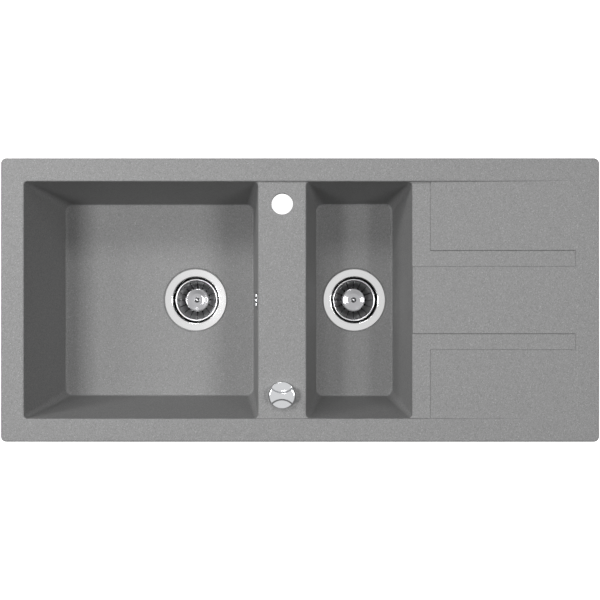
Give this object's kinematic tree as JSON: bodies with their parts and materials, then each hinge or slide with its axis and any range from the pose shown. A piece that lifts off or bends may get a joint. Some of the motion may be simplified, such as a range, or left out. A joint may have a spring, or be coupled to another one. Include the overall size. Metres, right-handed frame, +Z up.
{
  "type": "kitchen sink",
  "caption": "Inset granite composite kitchen sink with a large bowl, a half bowl, a stepped drainer, lift-out strainer wastes, a knob-worked pop-up waste and an overflow.",
  "frame": {"origin": "middle of the rim's underside, which rests on the worktop", "axes": "+X along the sink towards the drainer, +Y to the back, +Z up"},
  "size_m": [0.97, 0.46, 0.329],
  "materials": {
    "granite": "fine speckled satin",
    "strainer_steel": "bright satin",
    "polished_steel": "polished",
    "chrome": "polished",
    "rubber": "matte",
    "waste_plastic": "satin",
    "control_plastic": "satin",
    "zinc_steel": "zinc plated",
    "bright_steel": "turned",
    "brass": "turned",
    "cable_jacket": "satin"
  },
  "bodies": {
    "sink": {"sink_body": "granite", "large_flange": "strainer_steel", "small_flange": "strainer_steel", "large_clamp_screw": "polished_steel", "small_clamp_screw": "polished_steel", "knob_collar": "chrome", "overflow_cover": "chrome", "overflow_screw": "chrome", "rim_seal": "rubber", "large_upper_gasket": "rubber", "large_lower_gasket": "rubber", "small_upper_gasket": "rubber", "small_lower_gasket": "rubber", "knob_gasket": "rubber", "overflow_gasket": "rubber", "shaft_seal": "rubber", "large_waste_body": "waste_plastic", "small_waste_body": "waste_plastic", "overflow_elbow": "waste_plastic", "overflow_pipe": "waste_plastic", "overflow_nuts": "waste_plastic", "knob_back_nut": "control_plastic", "knob_housing": "control_plastic", "clip_sockets": "control_plastic", "clip_screws": "zinc_steel", "cable_bracket": "zinc_steel", "cable_ferrules": "brass", "cable_sheath": "cable_jacket"},
    "knob": {"control_knob": "chrome", "grub_screw": "zinc_steel", "knob_spindle": "bright_steel", "drive_crank": "control_plastic"},
    "cable_slider": {"cable_slider": "control_plastic"},
    "cable_end": {"cable_end": "bright_steel"},
    "trip": {"trip_shaft": "bright_steel", "lift_arm": "bright_steel", "trip_crank": "bright_steel"},
    "lift_pin": {"lift_pin": "bright_steel"},
    "large_basket": {"large_basket_cup": "strainer_steel", "large_basket_knob": "polished_steel", "large_basket_stud": "polished_steel", "large_basket_seal": "rubber"},
    "small_basket": {"small_basket_cup": "strainer_steel", "small_basket_knob": "polished_steel", "small_basket_stud": "polished_steel", "small_basket_seal": "rubber"},
    "clip_back_left": {"clip_arm_back_left": "zinc_steel"},
    "clip_back_middle": {"clip_arm_back_middle": "zinc_steel"},
    "clip_back_right": {"clip_arm_back_right": "zinc_steel"},
    "clip_front_left": {"clip_arm_front_left": "zinc_steel"},
    "clip_front_middle": {"clip_arm_front_middle": "zinc_steel"},
    "clip_front_right": {"clip_arm_front_right": "zinc_steel"},
    "clip_end_left": {"clip_arm_end_left": "zinc_steel"},
    "clip_end_right": {"clip_arm_end_right": "zinc_steel"}
  },
  "joints": [
    {"name": "knob_turn", "type": "hinge", "parent": "sink", "child": "knob", "pos_m": [-0.029, -0.154, 0.005], "axis": [0, 0, 1], "range_deg": [0, 90]},
    {"name": "cable_slider_slide", "type": "slide", "parent": "sink", "child": "cable_slider", "axis": [0, -1, 0], "range_m": [0, 0.00819]},
    {"name": "cable_end_slide", "type": "slide", "parent": "sink", "child": "cable_end", "axis": [1, 0, 0], "range_m": [0, 0.00819]},
    {"name": "trip_turn", "type": "hinge", "parent": "sink", "child": "trip", "pos_m": [-0.1696, -0.066, -0.248], "axis": [0, 1, 0], "range_deg": [0, 26.28]},
    {"name": "lift_pin_rise", "type": "slide", "parent": "sink", "child": "lift_pin", "axis": [0, 0, 1], "range_m": [0, 0.01001]},
    {"name": "large_basket_lift", "type": "slide", "parent": "lift_pin", "child": "large_basket", "axis": [0, 0, 1], "range_m": [0, 0.06]},
    {"name": "small_basket_lift", "type": "slide", "parent": "sink", "child": "small_basket", "axis": [0, 0, 1], "range_m": [0, 0.06]},
    {"name": "clip_back_left_swing", "type": "hinge", "parent": "sink", "child": "clip_back_left", "pos_m": [-0.32, 0.211, -0.05], "axis": [0, 0, 1], "range_deg": [0, 90]},
    {"name": "clip_back_middle_swing", "type": "hinge", "parent": "sink", "child": "clip_back_middle", "pos_m": [0, 0.211, -0.05], "axis": [0, 0, 1], "range_deg": [0, 90]},
    {"name": "clip_back_right_swing", "type": "hinge", "parent": "sink", "child": "clip_back_right", "pos_m": [0.32, 0.211, -0.05], "axis": [0, 0, 1], "range_deg": [0, 90]},
    {"name": "clip_front_left_swing", "type": "hinge", "parent": "sink", "child": "clip_front_left", "pos_m": [-0.32, -0.211, -0.05], "axis": [0, 0, -1], "range_deg": [0, 90]},
    {"name": "clip_front_middle_swing", "type": "hinge", "parent": "sink", "child": "clip_front_middle", "pos_m": [0, -0.211, -0.05], "axis": [0, 0, -1], "range_deg": [0, 90]},
    {"name": "clip_front_right_swing", "type": "hinge", "parent": "sink", "child": "clip_front_right", "pos_m": [0.32, -0.211, -0.05], "axis": [0, 0, -1], "range_deg": [0, 90]},
    {"name": "clip_end_left_swing", "type": "hinge", "parent": "sink", "child": "clip_end_left", "pos_m": [-0.466, 0, -0.05], "axis": [0, 0, 1], "range_deg": [0, 90]},
    {"name": "clip_end_right_swing", "type": "hinge", "parent": "sink", "child": "clip_end_right", "pos_m": [0.466, 0, -0.05], "axis": [0, 0, -1], "range_deg": [0, 90]}
  ],
  "couplings": [
    {"joint": "cable_slider_slide", "follows": "knob_turn", "m_per_rad": 0.0052087},
    {"joint": "cable_end_slide", "follows": "knob_turn", "m_per_rad": 0.0052087},
    {"joint": "trip_turn", "follows": "knob_turn", "ratio": 0.29192},
    {"joint": "lift_pin_rise", "follows": "knob_turn", "m_per_rad": 0.0063662}
  ]
}
